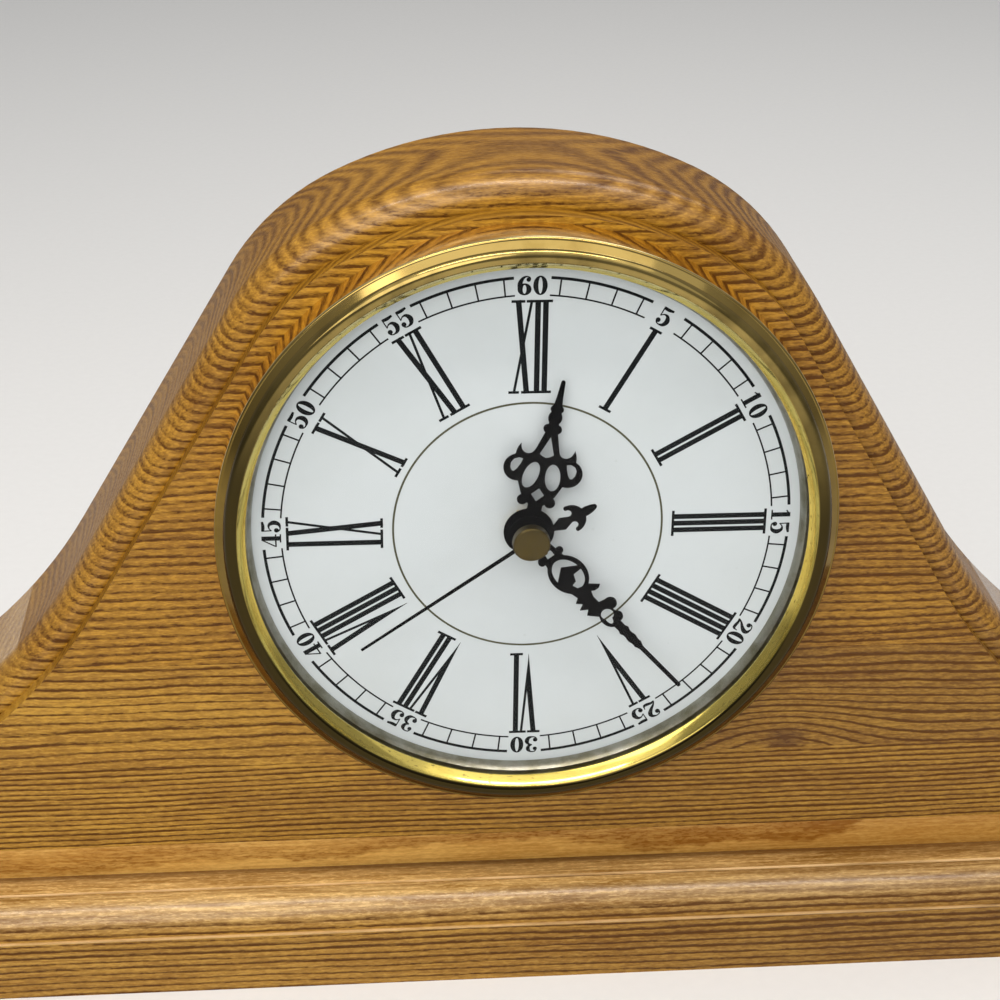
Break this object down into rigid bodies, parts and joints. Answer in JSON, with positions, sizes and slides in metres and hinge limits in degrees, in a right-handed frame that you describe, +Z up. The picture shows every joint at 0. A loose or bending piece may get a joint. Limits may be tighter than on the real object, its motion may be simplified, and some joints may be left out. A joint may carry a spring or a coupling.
{
  "type": "tambour mantel clock",
  "caption": "Hat-shaped wooden mantel clock on a moulded base, with a brass-bezelled round dial, pierced hands and a battery quartz movement reached from its open back.",
  "frame": {"origin": "on the surface the clock stands on, under the middle of its bounding box", "axes": "+X to the viewer's right along the base, +Y from the dial towards the back, +Z up"},
  "size_m": [0.4438, 0.0662, 0.2104],
  "materials": {
    "oak": "varnished",
    "bezel_brass": "polished and lacquered",
    "cap_brass": "dulled",
    "clear_glass": "polished",
    "dial_white": "satin print",
    "pan_steel": "plated",
    "hand_black": "satin black",
    "black_plastic": "moulded",
    "wheel_plastic": "moulded",
    "screw_steel": "zinc plated",
    "gasket_rubber": "plain",
    "core_steel": "plain",
    "coil_copper": "enamelled wire",
    "board_laminate": "printed circuit",
    "contact_metal": "nickel plated",
    "cell_jacket": "plain sleeve"
  },
  "bodies": {
    "clock": {"case_board_lowest": "oak", "case_board_lower": "oak", "case_board_middle": "oak", "case_board_crown": "oak", "base_board": "oak", "base_screws": "screw_steel", "dial_pan": "pan_steel", "pan_screws": "screw_steel", "dial_plate": "dial_white", "bezel": "bezel_brass", "glass": "clear_glass", "sight_ring": "pan_steel", "movement_case": "black_plastic", "movement_cover": "black_plastic", "train_plate": "wheel_plastic", "bushing": "bezel_brass", "gasket": "gasket_rubber", "nut_washer": "bezel_brass", "hex_nut": "bezel_brass", "stator": "core_steel", "coil_bobbin": "wheel_plastic", "coil_winding": "coil_copper", "circuit_board": "board_laminate", "quartz_crystal": "contact_metal", "contact_positive": "contact_metal", "contact_negative": "contact_metal", "battery": "cell_jacket"},
    "hour": {"hour_wheel": "wheel_plastic", "hour_hand": "hand_black"},
    "minute": {"cannon_pinion": "wheel_plastic", "minute_hand": "hand_black"},
    "second": {"second_wheel": "wheel_plastic", "second_hand": "hand_black", "second_cap": "cap_brass"},
    "third": {"third_wheel": "wheel_plastic"},
    "centre": {"centre_wheel": "wheel_plastic"},
    "intermediate": {"intermediate_wheel": "wheel_plastic"},
    "rotor": {"rotor_pinion": "wheel_plastic", "rotor_magnet": "core_steel"},
    "reduction": {"reduction_wheel": "wheel_plastic"},
    "setting": {"setting_arbor": "wheel_plastic", "setting_knob": "black_plastic"}
  },
  "joints": [
    {"name": "hour_hand_turn", "type": "hinge", "parent": "clock", "child": "hour", "pos_m": [0, -0.01795, 0.126], "axis": [0, 1, 0], "continuous": true},
    {"name": "minute_hand_turn", "type": "hinge", "parent": "clock", "child": "minute", "pos_m": [0, -0.01795, 0.126], "axis": [0, 1, 0], "continuous": true},
    {"name": "second_hand_turn", "type": "hinge", "parent": "clock", "child": "second", "pos_m": [0, -0.01795, 0.126], "axis": [0, 1, 0], "continuous": true},
    {"name": "third_wheel_turn", "type": "hinge", "parent": "clock", "child": "third", "pos_m": [0.00891, -0.01795, 0.13224], "axis": [0, 1, 0], "continuous": true},
    {"name": "centre_wheel_turn", "type": "hinge", "parent": "clock", "child": "centre", "pos_m": [0, -0.01795, 0.126], "axis": [0, 1, 0], "continuous": true},
    {"name": "intermediate_wheel_turn", "type": "hinge", "parent": "clock", "child": "intermediate", "pos_m": [-0.01015, -0.01795, 0.12127], "axis": [0, 1, 0], "continuous": true},
    {"name": "rotor_turn", "type": "hinge", "parent": "clock", "child": "rotor", "pos_m": [-0.01495, -0.01795, 0.12127], "axis": [0, 1, 0], "continuous": true},
    {"name": "reduction_wheel_turn", "type": "hinge", "parent": "clock", "child": "reduction", "pos_m": [-0.00977, -0.01795, 0.13164], "axis": [0, 1, 0], "continuous": true},
    {"name": "setting_knob_turn", "type": "hinge", "parent": "clock", "child": "setting", "pos_m": [-0.01173, -0.01795, 0.14275], "axis": [0, 1, 0], "continuous": true}
  ],
  "couplings": [
    {"joint": "third_wheel_turn", "follows": "second_hand_turn", "ratio": -0.13333},
    {"joint": "centre_wheel_turn", "follows": "second_hand_turn", "ratio": 0.016667},
    {"joint": "intermediate_wheel_turn", "follows": "second_hand_turn", "ratio": -6},
    {"joint": "rotor_turn", "follows": "second_hand_turn", "ratio": 30},
    {"joint": "reduction_wheel_turn", "follows": "minute_hand_turn", "ratio": -0.33333},
    {"joint": "hour_hand_turn", "follows": "minute_hand_turn", "ratio": 0.083333},
    {"joint": "setting_knob_turn", "follows": "minute_hand_turn", "ratio": 1}
  ]
}
